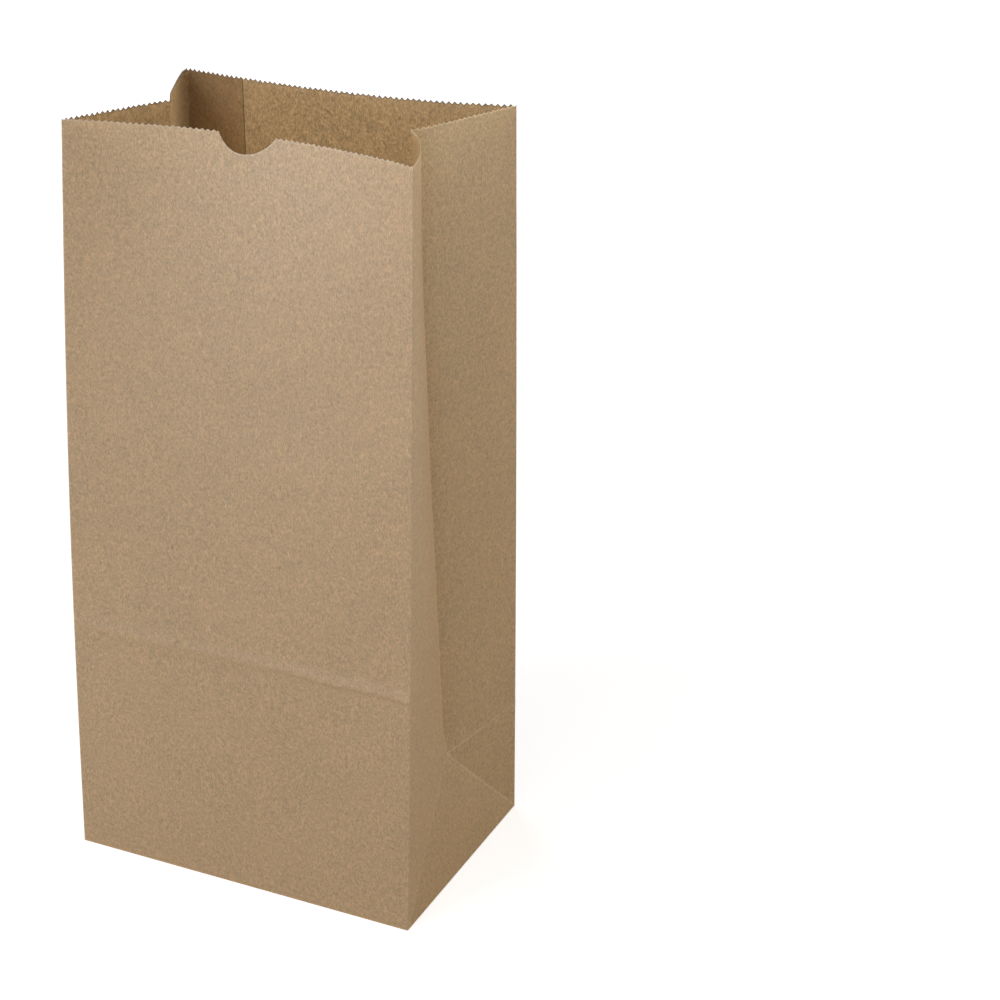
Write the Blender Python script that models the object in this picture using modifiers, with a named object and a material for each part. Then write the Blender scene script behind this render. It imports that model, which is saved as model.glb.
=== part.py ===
"""Brown kraft paper lunch bag: one sheet, folded and glued, standing open on its flat bottom.

The front panel faces -Y, the width runs along X and the height along Z. The origin is the middle of the
bottom's underside. The walls are lofted from the rectangular bottom to the gusseted mouth, and Solidify
gives the sheet its thickness, with more layers where the sheet laps over itself.
"""

import math

import bmesh
import bpy
from mathutils import Vector

# Overall sizes, in metres
BAG_WIDTH = 0.1556
BAG_DEPTH = 0.1048
BAG_HEIGHT = 0.3159
PAPER = 0.0001

# Saw-cut mouth and the thumb notch in the front edge
TOOTH_PITCH = 0.0025
TOOTH_HEIGHT = 0.0011
NOTCH_WIDTH = 0.0262
NOTCH_DEPTH = 0.0078
NOTCH_SKEW = 0.15

# Where the mouth's corners stand, measured from the bottom's corners
MOUTH_LEAN = {
    "front_left": (0.0139, 0.0020),
    "front_right": (0.0040, 0.0014),
    "back_right": (0.0002, -0.0074),
    "back_left": (0.0109, -0.0116),
}
# How far each upright edge bows outward at half height
EDGE_BOW = {
    "front_left": 0.0021,
    "front_right": 0.0005,
    "back_right": 0.0004,
    "back_left": 0.0010,
}

# Panels sink inward towards the mouth
FRONT_SINK = 0.0122
BACK_SINK = 0.0092
BACK_SINK_SKEW = 0.15
SINK_POWER = 2.2

# Side gussets: the centre fold is drawn inward, a little at its lower end and most at the mouth
FOLD_INSET_LOW = 0.0088
RIGHT_FOLD_INSET = 0.0200
LEFT_FOLD_INSET = 0.0207
FOLD_DRIFT = -0.0028
# Outward bulge of the right gusset's front half and the left one's rear half, and how flat each is on top
RIGHT_FRONT_BULGE = 0.0030
RIGHT_FRONT_FLATNESS = 2.0
LEFT_REAR_BULGE = 0.0012
LEFT_REAR_FLATNESS = 6.0

# Creases left by flat packing: across the front at bag depth, round the back at half of it
CREASE_RELIEF = 0.0005
CREASE_REACH = 0.0050

# Glued back seam, measured from the left back edge
SEAM_OUTER_EDGE = 0.0016
SEAM_INNER_EDGE = 0.0308
SEAM_STEP = 0.0001

# Folded and glued bottom
FLOOR_LAYERS = 4
FLAP_OVERLAP = 0.0200
END_FOLD_GAP = 0.0004
CUTTER_MARGIN = 0.0100

# Mesh density
PANEL_COLUMNS = 20
GUSSET_COLUMNS = 7
UPPER_ROWS = 9
BAND_BELOW_NOTCH = 0.0050
SHARP_ANGLE = 20.0

KRAFT_COLOUR = (0.434, 0.314, 0.188, 1.0)
KRAFT_ROUGHNESS = 0.8

SIDES = {
    "front_left": (-1.0, -1.0),
    "front_right": (1.0, -1.0),
    "back_right": (1.0, 1.0),
    "back_left": (-1.0, 1.0),
}
HALF_DEPTH = BAG_DEPTH / 2.0
SINGLE_WEIGHT = 1.0 / FLOOR_LAYERS
DOUBLE_WEIGHT = 2.0 / FLOOR_LAYERS


def clear_scene():
    for old in list(bpy.data.objects):
        bpy.data.objects.remove(old, do_unlink=True)


def corner(name, z):
    """Plan position of one upright edge at height z."""
    rise = z / BAG_HEIGHT
    side_x, side_y = SIDES[name]
    base = Vector((side_x * BAG_WIDTH / 2.0, side_y * HALF_DEPTH))
    bow = Vector((side_x * EDGE_BOW[name] * math.sin(math.pi * rise), 0.0))
    return base + Vector(MOUTH_LEAN[name]) * rise + bow


def inward(start, end):
    """Unit normal of a chord, pointing into the bag when the chord runs anticlockwise seen from above."""
    chord = (end - start).normalized()
    return Vector((-chord.y, chord.x))


def crease(z, height):
    """Height of the soft ridge of a crease at the given height."""
    away = abs(z - height) / CREASE_REACH
    return CREASE_RELIEF * max(0.0, 1.0 - away)


def sunk(across, amount, skew):
    """Inward sag of a panel at a share of its width."""
    place = 2.0 * across - 1.0
    place -= skew * (1.0 - place * place)
    return amount * (1.0 - place * place)


def front_point(across, z):
    start, end = corner("front_left", z), corner("front_right", z)
    rise = (z / BAG_HEIGHT) ** SINK_POWER
    offset = sunk(across, FRONT_SINK, 0.0) * rise - crease(z, BAG_DEPTH)
    return start.lerp(end, across) + inward(start, end) * offset


def seam_step(across):
    """The layer that wraps the left back edge lies under the back panel, so the edge strip is lower."""
    from_edge = (1.0 - across) * BAG_WIDTH
    if from_edge > SEAM_OUTER_EDGE:
        return 0.0
    return PAPER * from_edge / SEAM_OUTER_EDGE


def back_point(across, z):
    start, end = corner("back_right", z), corner("back_left", z)
    rise = (z / BAG_HEIGHT) ** SINK_POWER
    offset = sunk(across, BACK_SINK, -BACK_SINK_SKEW) * rise
    offset += seam_step(across) - crease(z, HALF_DEPTH)
    return start.lerp(end, across) + inward(start, end) * offset


def fold_inset(z, at_mouth):
    """How far a gusset's centre line stands inside the line between its two upright edges."""
    if z <= HALF_DEPTH:
        return FOLD_INSET_LOW * z / HALF_DEPTH
    rise = (z - HALF_DEPTH) / (BAG_HEIGHT - HALF_DEPTH)
    return FOLD_INSET_LOW + (at_mouth - FOLD_INSET_LOW) * rise


def gusset_point(start, end, across, z, at_mouth, bulge, flatness):
    """A side panel from one upright edge over the centre fold to the other; its first half bulges.

    Below half the depth the panel has a flat triangle between two creases at 45 degrees.
    """
    begin, finish = corner(start, z), corner(end, z)
    to_fold = 1.0 - abs(2.0 * across - 1.0)
    creased = min(1.0, z / HALF_DEPTH)
    share = min(1.0, to_fold / creased) if creased > 0.0 else 1.0
    rise = max(0.0, (z - HALF_DEPTH) / (BAG_HEIGHT - HALF_DEPTH))
    offset = fold_inset(z, at_mouth) * share
    if across < 0.5:
        offset -= bulge * (1.0 - abs(2.0 * to_fold - 1.0) ** flatness) * rise
    drift = Vector((0.0, FOLD_DRIFT * to_fold * rise))
    return begin.lerp(finish, across) + inward(begin, finish) * offset + drift


def right_point(across, z):
    bulge = (RIGHT_FRONT_BULGE, RIGHT_FRONT_FLATNESS)
    return gusset_point("front_right", "back_right", across, z, RIGHT_FOLD_INSET, *bulge)


def left_point(across, z):
    bulge = (LEFT_REAR_BULGE, LEFT_REAR_FLATNESS)
    return gusset_point("back_left", "front_left", across, z, LEFT_FOLD_INSET, *bulge)


def even_steps(count):
    return [step / count for step in range(count + 1)]


def tooth_count(width):
    return max(2, round(width / TOOTH_PITCH))


def seam_edges():
    """Shares of the back panel's width where the two edges of the glued seam lie."""
    edges = []
    for distance in (SEAM_OUTER_EDGE, SEAM_INNER_EDGE):
        edges.append(1.0 - distance / BAG_WIDTH)
        edges.append(1.0 - (distance + SEAM_STEP) / BAG_WIDTH)
    return edges


def notch_edges():
    half = NOTCH_WIDTH / BAG_WIDTH / 2.0
    return [0.5 - half, 0.5 + half]


def notch_drop(across):
    """Depth of the thumb notch at a share of the front panel's width, an arc with a steeper left flank."""
    place = (across - 0.5) * BAG_WIDTH / (NOTCH_WIDTH / 2.0)
    if abs(place) >= 1.0:
        return 0.0
    place += NOTCH_SKEW * (1.0 - place * place)
    half = NOTCH_WIDTH / 2.0
    radius = (half * half + NOTCH_DEPTH * NOTCH_DEPTH) / (2.0 * NOTCH_DEPTH)
    return math.sqrt(radius * radius - (place * half) ** 2) - (radius - NOTCH_DEPTH)


def toothed(across, teeth):
    """Drop of the saw cut below the mouth's height, with tooth tips at both ends of a panel."""
    phase = (across * teeth) % 1.0
    return TOOTH_HEIGHT * (1.0 - abs(2.0 * phase - 1.0))


class Panel:
    """One of the four walls: its surface, its column places and the places along its cut edge."""

    def __init__(self, point, width, columns, marks=(), edges=(), notched=False):
        self.point = point
        self.teeth = tooth_count(width)
        self.notched = notched
        self.columns = sorted(set(even_steps(columns)) | set(marks))
        self.rim = sorted(set(even_steps(2 * self.teeth)) | set(marks) | set(edges))

    def rim_height(self, across):
        if self.notched:
            low, high = notch_edges()
            if low <= across <= high:
                return BAG_HEIGHT - notch_drop(across)
        return BAG_HEIGHT - toothed(across, self.teeth)

    def is_tip(self, index):
        """Whether a place on the cut edge is higher than both its neighbours."""
        if index in (0, len(self.rim) - 1):
            return True
        before, here, after = (self.rim_height(across) for across in self.rim[index - 1 : index + 2])
        return here > before and here > after


def make_panels():
    """The four walls, anticlockwise seen from above, starting at the front left edge."""
    side_columns = 2 * GUSSET_COLUMNS
    return [
        Panel(front_point, BAG_WIDTH, PANEL_COLUMNS, edges=notch_edges(), notched=True),
        Panel(right_point, BAG_DEPTH, side_columns),
        Panel(back_point, BAG_WIDTH, PANEL_COLUMNS, marks=seam_edges()),
        Panel(left_point, BAG_DEPTH, side_columns),
    ]


def row_heights():
    """Heights of the mesh rows: the lowest ones let the 45 degree creases run through mesh corners."""
    low = [HALF_DEPTH * step for step in even_steps(GUSSET_COLUMNS)]
    creases = [HALF_DEPTH + CREASE_REACH, BAG_DEPTH - CREASE_REACH, BAG_DEPTH]
    between = (HALF_DEPTH + BAG_DEPTH) / 2.0
    top = BAG_HEIGHT - NOTCH_DEPTH - BAND_BELOW_NOTCH
    upper_start = BAG_DEPTH + CREASE_REACH
    upper = [upper_start + (top - upper_start) * step for step in even_steps(UPPER_ROWS)]
    heights = sorted(set([*low, *creases, between, *upper]))
    return [z for z, after in zip(heights, heights[1:] + [math.inf]) if after - z > PAPER]


def layer_weight(panel, across):
    """Share of the thickest lamination: the glued seam is two layers, every other wall is one."""
    if panel.point is not back_point:
        return SINGLE_WEIGHT
    from_edge = (1.0 - across) * BAG_WIDTH
    inside = SEAM_OUTER_EDGE + SEAM_STEP / 2.0 < from_edge < SEAM_INNER_EDGE + SEAM_STEP / 2.0
    return DOUBLE_WEIGHT if inside else SINGLE_WEIGHT


class Sheet:
    """Collects the vertices of the open surface and the number of paper layers at each."""

    def __init__(self):
        self.mesh = bmesh.new()
        self.weights = []

    def vertex(self, x, y, z, weight):
        self.weights.append(weight)
        return self.mesh.verts.new((x, y, z))

    def ring(self, panels, places, height):
        """Vertices once round the bag; a panel's last place is the next panel's first."""
        ring = []
        for panel, shares in zip(panels, places):
            for across in shares[:-1]:
                z = height(panel, across)
                x, y = panel.point(across, z)
                ring.append(self.vertex(x, y, z, layer_weight(panel, across)))
        return ring


def nearest(values, wanted):
    return min(range(len(values)), key=lambda index: abs(values[index] - wanted))


def add_rows(sheet, panels):
    """Quads between the rows, with the diagonals along the 45 degree creases."""
    places = [panel.columns for panel in panels]
    rings = [sheet.ring(panels, places, lambda panel, across, z=z: z) for z in row_heights()]
    count = len(rings[0])
    sides = [index for panel in panels for index in panel_sides(panel)]
    for low, high in zip(rings, rings[1:]):
        for index in range(count):
            after = (index + 1) % count
            corners = (low[index], low[after], high[after], high[index])
            add_split_quad(sheet, corners, sides[index])
    return rings


def panel_sides(panel):
    """For each column, whether its quads split along the rising or the falling diagonal."""
    return [across < 0.5 for across in panel.columns[:-1]]


def add_split_quad(sheet, corners, rising):
    a, b, c, d = corners
    if rising:
        sheet.mesh.faces.new((a, b, c))
        sheet.mesh.faces.new((a, c, d))
    else:
        sheet.mesh.faces.new((a, b, d))
        sheet.mesh.faces.new((b, c, d))


def add_fan(sheet, left, right, line):
    """Triangles between the two top corners of a column and the line above them, listed left to right."""
    middle = len(line) // 2
    for index, (here, after) in enumerate(zip(line, line[1:])):
        pivot = left if index < middle else right
        sheet.mesh.faces.new((pivot, after, here))
    sheet.mesh.faces.new((left, right, line[middle]))


def add_cut_column(sheet, left, right, edge, is_tip):
    """One column of the band under the mouth: a fan up to the roots of the teeth, then the teeth."""
    roots = []
    for index, vertex in enumerate(edge):
        at_end = index in (0, len(edge) - 1)
        if at_end or not is_tip[index]:
            roots.append(vertex)
        else:
            sheet.mesh.faces.new((edge[index - 1], edge[index + 1], vertex))
    add_fan(sheet, left, right, roots)


def add_cut_edge(sheet, panels, top_ring):
    """The band under the mouth, with the teeth and the notch on its upper side."""
    rim_ring = sheet.ring(panels, [panel.rim for panel in panels], Panel.rim_height)
    column_start, rim_start = 0, 0
    for panel in panels:
        stops = [nearest(panel.rim, across) for across in panel.columns]
        for column in range(len(panel.columns) - 1):
            left = top_ring[column_start + column]
            right = top_ring[(column_start + column + 1) % len(top_ring)]
            steps = range(stops[column], stops[column + 1] + 1)
            edge = [rim_ring[(rim_start + step) % len(rim_ring)] for step in steps]
            add_cut_column(sheet, left, right, edge, [panel.is_tip(step) for step in steps])
        column_start += len(panel.columns) - 1
        rim_start += len(panel.rim) - 1


def add_floor(sheet, bottom_ring):
    """The bottom's outline again, weighted for all its layers, as one flat face."""
    sheet.mesh.faces.new(list(reversed(bottom_ring)))
    for vertex in bottom_ring:
        sheet.weights[vertex.index] = 1.0


def sheet_mesh():
    sheet = Sheet()
    panels = make_panels()
    rings = add_rows(sheet, panels)
    add_cut_edge(sheet, panels, rings[-1])
    sheet.mesh.verts.index_update()
    add_floor(sheet, rings[0])
    bmesh.ops.triangulate(sheet.mesh, faces=sheet.mesh.faces[:])
    mesh = bpy.data.meshes.new("paper_bag")
    sheet.mesh.to_mesh(mesh)
    sheet.mesh.free()
    return mesh, sheet.weights


def kraft_material():
    material = bpy.data.materials.new("kraft_paper")
    material.use_nodes = True
    shader = material.node_tree.nodes["Principled BSDF"]
    shader.inputs["Base Color"].default_value = KRAFT_COLOUR
    shader.inputs["Roughness"].default_value = KRAFT_ROUGHNESS
    shader.inputs["Metallic"].default_value = 0.0
    return material


def make_collection(name):
    collection = bpy.data.collections.new(name)
    bpy.context.scene.collection.children.link(collection)
    return collection


def prism(name, outline, depth, collection):
    """A cutter for the underside: a flat outline reaching the given depth into the bottom."""
    shape = bmesh.new()
    corners = [shape.verts.new((x, y, -CUTTER_MARGIN)) for x, y in outline]
    face = shape.faces.new(corners)
    pulled = bmesh.ops.extrude_face_region(shape, geom=[face])
    lifted = [item for item in pulled["geom"] if isinstance(item, bmesh.types.BMVert)]
    bmesh.ops.translate(shape, verts=lifted, vec=(0.0, 0.0, CUTTER_MARGIN + depth))
    bmesh.ops.recalc_face_normals(shape, faces=shape.faces[:])
    mesh = bpy.data.meshes.new(name)
    shape.to_mesh(mesh)
    shape.free()
    cutter = bpy.data.objects.new(name, mesh)
    cutter.hide_render = True
    cutter.display_type = "WIRE"
    collection.objects.link(cutter)
    return cutter


def bottom_cutters(collection):
    """Steps of one paper thickness that show the bottom's flaps: the front flap lies lowest, the back
    flap one layer up, and the folded ends of the side panels two layers up."""
    half_width = BAG_WIDTH / 2.0
    reach = HALF_DEPTH + FLAP_OVERLAP / 2.0
    far_x, far_y = half_width + CUTTER_MARGIN, HALF_DEPTH + CUTTER_MARGIN
    behind_front_flap = [
        (-far_x, -far_y),
        (-half_width + reach, -HALF_DEPTH + reach),
        (half_width - reach, -HALF_DEPTH + reach),
        (far_x, -far_y),
        (far_x, far_y),
        (-far_x, far_y),
    ]
    cutters = [prism("cut_behind_front_flap", behind_front_flap, PAPER, collection)]
    for label, side in (("left", -1.0), ("right", 1.0)):
        apex = half_width - HALF_DEPTH + END_FOLD_GAP
        far = apex + far_y
        outline = [(side * far, -far_y), (side * apex, 0.0), (side * far, far_y)]
        cutters.append(prism(f"cut_{label}_end", outline, 2.0 * PAPER, collection))
    return cutters


def add_sheet_thickness(bag, weights):
    group = bag.vertex_groups.new(name="layers")
    for index, weight in enumerate(weights):
        group.add([index], weight, "REPLACE")
    solidify = bag.modifiers.new("paper", "SOLIDIFY")
    solidify.thickness = PAPER * FLOOR_LAYERS
    solidify.offset = -1.0
    solidify.use_even_offset = True
    solidify.vertex_group = group.name


def add_cuts(bag, cutters):
    for cutter in cutters:
        cut = bag.modifiers.new(cutter.name, "BOOLEAN")
        cut.operation = "DIFFERENCE"
        cut.solver = "EXACT"
        cut.object = cutter


def build_bag():
    clear_scene()
    parts = make_collection("brown_paper_lunch_bag")
    guides = make_collection("cutters")
    mesh, weights = sheet_mesh()
    mesh.materials.append(kraft_material())
    mesh.shade_smooth()
    mesh.set_sharp_from_angle(angle=math.radians(SHARP_ANGLE))
    bag = bpy.data.objects.new("paper_bag", mesh)
    parts.objects.link(bag)
    add_sheet_thickness(bag, weights)
    add_cuts(bag, bottom_cutters(guides))
    return bag


build_bag()
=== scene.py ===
"""Brown kraft paper lunch bag: the fine sheet and its finish, on a white floor in soft light.

The bag is one folded sheet. Its four walls are lofted between four upright edges, with gusset folds
at the sides, a soft imprint across the front and creases round the back, and the bottom is folded
from flaps. Lengths are in metres, and the front looks towards -Y.
"""

import math
import random

import bmesh
import bpy
import numpy as np
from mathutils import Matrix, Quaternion, Vector, noise


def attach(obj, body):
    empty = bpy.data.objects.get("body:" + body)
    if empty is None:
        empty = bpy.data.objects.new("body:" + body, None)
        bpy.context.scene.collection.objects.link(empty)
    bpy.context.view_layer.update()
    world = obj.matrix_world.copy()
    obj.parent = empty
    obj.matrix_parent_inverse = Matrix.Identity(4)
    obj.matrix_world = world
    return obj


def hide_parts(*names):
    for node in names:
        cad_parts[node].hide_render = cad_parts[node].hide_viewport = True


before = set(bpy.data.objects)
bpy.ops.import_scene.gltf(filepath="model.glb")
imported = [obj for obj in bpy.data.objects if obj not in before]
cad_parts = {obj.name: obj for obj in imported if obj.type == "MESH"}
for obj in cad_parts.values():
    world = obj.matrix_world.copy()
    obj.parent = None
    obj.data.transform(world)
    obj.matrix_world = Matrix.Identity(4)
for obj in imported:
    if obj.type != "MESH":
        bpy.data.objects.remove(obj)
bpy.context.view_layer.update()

NODE = "paper_bag"

# The sheet's sizes, as the construction has them
BAG_WIDTH = 0.1556
BAG_DEPTH = 0.1048
BAG_HEIGHT = 0.3159
PAPER = 0.0001
HALF_DEPTH = BAG_DEPTH / 2.0

# The saw cut of the mouth and the flaps. At the mouth the front's and right side's teeth are lower
TOOTH_PITCH = 0.0025
TOOTH_HEIGHT = 0.0011
FRONT_TOOTH_SHARE = 0.7
RIGHT_TOOTH_SHARE = 0.6
# Each tooth's own share of that height lies between these, and its tip and root are rounded
TOOTH_CHANCE = (0.75, 1.1)
TOOTH_ROUNDING = 0.02
# The front's teeth are flatter near its left edge
FLAT_TEETH_SHARE = 0.55
FLAT_TEETH_RUN = 0.0150

# The thumb notch, its lean to one side, and how far below the mouth the rows bend to follow it
NOTCH_WIDTH = 0.0262
NOTCH_DEPTH = 0.0078
NOTCH_SKEW = 0.15
NOTCH_REACH = 0.0400

# Where the mouth's corners stand, measured from the bottom's corners
MOUTH_LEAN = {
    "front_left": (0.0139, 0.0020),
    "front_right": (0.0040, 0.0014),
    "back_right": (0.0002, -0.0074),
    "back_left": (0.0109, -0.0116),
}
# How far each upright edge bows outwards at mid height
EDGE_BOW = {
    "front_left": 0.0021,
    "front_right": 0.0005,
    "back_right": 0.0004,
    "back_left": 0.0010,
}
# The sides of the bag on which each upright edge stands, in X and Y
SIDES = {
    "front_left": (-1.0, -1.0),
    "front_right": (1.0, -1.0),
    "back_right": (1.0, 1.0),
    "back_left": (-1.0, 1.0),
}
# How far the front and the back are sunk in at the mouth, and how fast that fades downwards
FRONT_SINK = 0.0122
BACK_SINK = 0.0092
BACK_SINK_SKEW = -0.15
SINK_POWER = 2.2

# How far the gusset folds are pushed in, at half the depth above the bottom and at the mouth
FOLD_INSET_LOW = 0.0088
RIGHT_FOLD_INSET = 0.0200
LEFT_FOLD_INSET = 0.0207
# How far the folds stand off the gussets' middle at the mouth, towards the front
FOLD_DRIFT = -0.0028
# Outward bulge of the right gusset's front half and the left one's rear half, and how flat each is
RIGHT_FRONT_BULGE = 0.0030
RIGHT_FRONT_FLATNESS = 2.0
LEFT_REAR_BULGE = 0.0012
LEFT_REAR_FLATNESS = 6.0

# The back seam's lap, by the distance of its two edges from the bag's left back edge
SEAM_OUTER_EDGE = 0.0016
SEAM_INNER_EDGE = 0.0308
# The width of the step at either edge, and of the columns beside the inner one
SEAM_STEP = 0.0001
SEAM_LINE = 0.0004
# The painted shade on both sides of the left back edge, darkest at that edge, and how far it
# reaches
CORNER_SHADE_REACH = 0.0300

# How far the bottom's two flaps overlap, and the strip of floor between their edges and the walls
FLAP_OVERLAP = 0.0200
FLOOR_STRIP = 0.0008
# Heights in the folded bottom in layers of paper, as it shows from below and from inside
FRONT_FLAP, BACK_FLAP, END_FOLD = 0, 1, 2
FRONT_FLAP_TOP, BACK_FLAP_TOP, END_FOLD_TOP = 2, 3, 4
# The layer into which each wall turns. A later one has the corners that it shares
WALL_LAYERS = {"right": END_FOLD, "left": END_FOLD, "back": BACK_FLAP, "front": FRONT_FLAP}

# The soft imprint across the front, where the flat-packed bottom was pressed against it
IMPRINT_HEIGHT = 0.0008
IMPRINT_ABOVE = 0.0036
IMPRINT_BELOW = 0.0010
# How far its crest waves up and down, how many waves there are, and their place in the noise
IMPRINT_WAVE = 0.0009
IMPRINT_WAVES = 7.0
IMPRINT_SEED = 3.1
# Its sharpness grows from the least, over a run of the front's width that begins here
IMPRINT_LEAST_SHARP = 0.08
IMPRINT_SHARP_FROM = 0.32
IMPRINT_SHARP_RUN = 0.55
# The shares of the height and of the lower flank's steepness that are left without any sharpness
IMPRINT_LEAST_HEIGHT = 0.50
IMPRINT_LEAST_STEEP = 0.25

# The sharper crease at half the depth, round the back and the rear half of the gussets
BACK_CREASE_HEIGHT = 0.00035
BACK_CREASE_REACH = 0.0018
# The share of a gusset's half over which it dies out at the fold
BACK_CREASE_FADE = 0.25

# Slow waves, ripples and upright streaks of the standing sheet: how high and how long
WAVE_HEIGHT = 0.0005
WAVE_LENGTH = 0.0700
RIPPLE_HEIGHT = 0.00012
RIPPLE_LENGTH = 0.0220
STREAK_HEIGHT = 0.00010
STREAK_WIDTH = 0.0110
STREAK_LENGTH = 0.0600
CALM_EDGE = 0.0080
# Each wall's place in the noise, and how far on from it the streaks are
WAVE_SEEDS = {"front": 0.0, "right": 5.3, "back": 1.7, "left": 9.1}
STREAK_SEED = 4.0

# How far an upright fold's line is pulled in towards its neighbours, so the sheet turns round it
FOLD_ROUND = 0.366
# The sheet near a gusset fold, pressed in further than the rest of the side
FOLD_DIP = 0.0012
FOLD_DIP_REACH = 0.0045
FOLD_DIP_RUN = 0.0130

# Columns beside each fold, the least distance of an even column from a marked one, and the notch's
FOLD_COLUMNS = (0.0004, 0.0009)
COLUMN_GAP = 0.0005
NOTCH_COLUMNS = 16
# The cut edge: its height above the last row, its steps to a tooth and their least distance
RIM_BAND = 0.0022
RIM_STEPS = 8
RIM_GAP = 0.0001
# Bands of rows from the bottom up: the height where each begins and the distance between its rows.
# They are close at the gusset fold's lower end, at the imprint and below the cut edge
ROW_BANDS = (
    (0.0, TOOTH_PITCH),
    (HALF_DEPTH, 0.0010),
    (HALF_DEPTH + 0.0050, 0.0024),
    (BAG_DEPTH - 0.0060, 0.0010),
    (BAG_DEPTH - 0.0030, 0.0005),
    (BAG_DEPTH + 0.0020, 0.0010),
    (BAG_DEPTH + 0.0080, 0.0024),
    (BAG_HEIGHT - 0.0150, 0.0013),
)
SHARP_ANGLE = 50.0


def smooth(value):
    """A soft step from 0 to 1."""
    value = min(1.0, max(0.0, value))
    return value * value * (3.0 - 2.0 * value)


def at_least(least, share):
    """A share from 0 to 1, brought into the range from least to 1."""
    return least + (1.0 - least) * share


def corner(name, z):
    """Plan position of one upright edge at height z."""
    rise = z / BAG_HEIGHT
    side_x, side_y = SIDES[name]
    base = Vector((side_x * BAG_WIDTH / 2.0, side_y * HALF_DEPTH))
    bow = Vector((side_x * EDGE_BOW[name] * math.sin(math.pi * rise), 0.0))
    return base + Vector(MOUTH_LEAN[name]) * rise + bow


def inward(start, end):
    """The direction to the left of a line in plan: into the bag, as its walls go anticlockwise."""
    chord = (end - start).normalized()
    return Vector((-chord.y, chord.x))


def sunk(across, amount, skew=0.0):
    """An arc over a wall's width, with its deepest place moved to one side by the skew."""
    place = 2.0 * across - 1.0
    place -= skew * (1.0 - place * place)
    return amount * (1.0 - place * place)


def calm(across, width, z):
    """Waves die out towards the upright edges and the flat bottom."""
    from_edge = min(across, 1.0 - across) * width
    return smooth(from_edge / CALM_EDGE) * smooth(z / (2.0 * CALM_EDGE))


def waves(across, width, z, seed):
    place = Vector((across * width, seed, z))
    long_wave = noise.noise(place / WAVE_LENGTH) * WAVE_HEIGHT
    short_wave = noise.noise(place / RIPPLE_LENGTH) * RIPPLE_HEIGHT
    streak_place = (across * width / STREAK_WIDTH, seed + STREAK_SEED, z / STREAK_LENGTH)
    streak = noise.noise(Vector(streak_place)) * STREAK_HEIGHT
    return (long_wave + short_wave + streak) * calm(across, width, z)


def imprint_line(across):
    """Height of the imprint's crest across the front: nearly straight, with small waves."""
    place = Vector((across * IMPRINT_WAVES, IMPRINT_SEED, 0.0))
    return BAG_DEPTH + IMPRINT_WAVE * noise.noise(place)


def imprint(across, z):
    """A ridge with a long upper flank and a short lower one, fainter and softer to the left."""
    grown = smooth((across - IMPRINT_SHARP_FROM) / IMPRINT_SHARP_RUN)
    sharp = at_least(IMPRINT_LEAST_SHARP, grown)
    off = z - imprint_line(across)
    reach = IMPRINT_ABOVE if off > 0.0 else IMPRINT_BELOW / at_least(IMPRINT_LEAST_STEEP, sharp)
    height = IMPRINT_HEIGHT * at_least(IMPRINT_LEAST_HEIGHT, sharp)
    height *= smooth(across * BAG_WIDTH / CALM_EDGE)
    return height * math.exp(-((off / reach) ** 2))


def back_crease(z):
    return BACK_CREASE_HEIGHT * math.exp(-(((z - HALF_DEPTH) / BACK_CREASE_REACH) ** 2))


def front_place(across, z):
    start, end = corner("front_left", z), corner("front_right", z)
    rise = (z / BAG_HEIGHT) ** SINK_POWER
    offset = sunk(across, FRONT_SINK) * rise
    offset -= imprint(across, z) + waves(across, BAG_WIDTH, z, WAVE_SEEDS["front"])
    return start.lerp(end, across) + inward(start, end) * offset


def seam_step(across):
    """Outside the lap the sheet lies one layer further in, less and less towards the edge."""
    from_edge = (1.0 - across) * BAG_WIDTH
    if from_edge > SEAM_OUTER_EDGE:
        return 0.0
    return PAPER * from_edge / SEAM_OUTER_EDGE


def back_place(across, z):
    start, end = corner("back_right", z), corner("back_left", z)
    rise = (z / BAG_HEIGHT) ** SINK_POWER
    offset = sunk(across, BACK_SINK, BACK_SINK_SKEW) * rise
    offset += seam_step(across) - back_crease(z)
    offset -= waves(across, BAG_WIDTH, z, WAVE_SEEDS["back"])
    return start.lerp(end, across) + inward(start, end) * offset


def above_half_depth(z):
    """The share of the way from half the depth, where the gusset folds begin, up to the mouth."""
    return max(0.0, (z - HALF_DEPTH) / (BAG_HEIGHT - HALF_DEPTH))


def fold_inset(z, at_mouth):
    if z <= HALF_DEPTH:
        return FOLD_INSET_LOW * z / HALF_DEPTH
    return FOLD_INSET_LOW + (at_mouth - FOLD_INSET_LOW) * above_half_depth(z)


def fold_dip(to_fold, z):
    """Extra depth near a gusset fold, fading in above the point where the fold begins."""
    distance = (1.0 - to_fold) * HALF_DEPTH
    grown = smooth((z - HALF_DEPTH) / FOLD_DIP_RUN)
    return FOLD_DIP * math.exp(-distance / FOLD_DIP_REACH) * grown


def gusset_place(start, end, across, z, at_mouth, bulge, flatness, rear, seed):
    """A side wall with a bulging first half; rear says whether its second half is creased."""
    begin, finish = corner(start, z), corner(end, z)
    to_fold = 1.0 - abs(2.0 * across - 1.0)
    creased = min(1.0, z / HALF_DEPTH)
    share = min(1.0, to_fold / creased) if creased > 0.0 else 1.0
    rise = above_half_depth(z)
    offset = fold_inset(z, at_mouth) * share
    offset += fold_dip(to_fold, z)
    if across < 0.5:
        offset -= bulge * (1.0 - abs(2.0 * to_fold - 1.0) ** flatness) * rise
    half = across * 2.0 if across < 0.5 else across * 2.0 - 1.0
    offset -= waves(half, HALF_DEPTH, z, seed + (across >= 0.5))
    if (across > 0.5) == rear:
        fade = math.sin(math.pi * to_fold / 2.0) * smooth((1.0 - to_fold) / BACK_CREASE_FADE)
        offset -= back_crease(z) * fade
    drift = Vector((0.0, FOLD_DRIFT * to_fold * rise))
    return begin.lerp(finish, across) + inward(begin, finish) * offset + drift


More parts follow.
